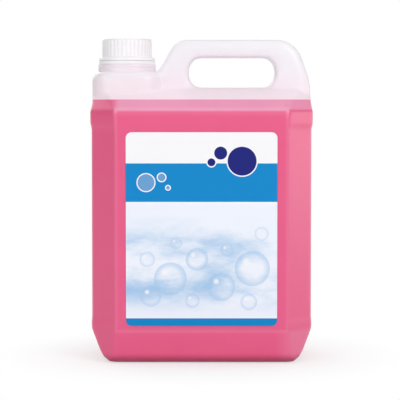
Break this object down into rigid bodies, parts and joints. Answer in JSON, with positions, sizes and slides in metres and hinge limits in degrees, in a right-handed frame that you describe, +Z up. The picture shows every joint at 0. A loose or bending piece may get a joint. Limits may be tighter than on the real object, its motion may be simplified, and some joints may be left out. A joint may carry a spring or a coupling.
{
  "type": "hand soap refill pack",
  "caption": "Tall plastic jerry can of pink liquid soap with a hollow top handle, front label, ribbed screw cap and tamper band.",
  "frame": {"origin": "middle of the footprint, on the surface that the can stands on", "axes": "+Z up, -Y towards the front label, +X towards the handle end, with the neck at -X"},
  "size_m": [0.1954, 0.1254, 0.284],
  "materials": {
    "natural_polyethylene": "satin, milky and see-through",
    "pink_soap": "clear pink liquid",
    "label_film": "satin printed film",
    "white_polypropylene": "satin",
    "white_foam": "fine closed foam"
  },
  "bodies": {
    "can": {"bottle": "natural_polyethylene", "soap": "pink_soap", "front_label": "label_film", "tamper_band": "white_polypropylene"},
    "liner": {"cap_liner": "white_foam"},
    "closure": {"cap": "white_polypropylene"}
  },
  "joints": [
    {"name": "cap_lift", "type": "slide", "parent": "can", "child": "liner", "axis": [0, 0, 1], "range_m": [0, 0.01015]},
    {"name": "cap_turn", "type": "hinge", "parent": "liner", "child": "closure", "pos_m": [-0.0667, 0.00025, 0.2555], "axis": [0, 0, 1], "range_deg": [0, 810]}
  ],
  "couplings": [
    {"joint": "cap_lift", "follows": "cap_turn", "m_per_rad": 0.0007162}
  ]
}
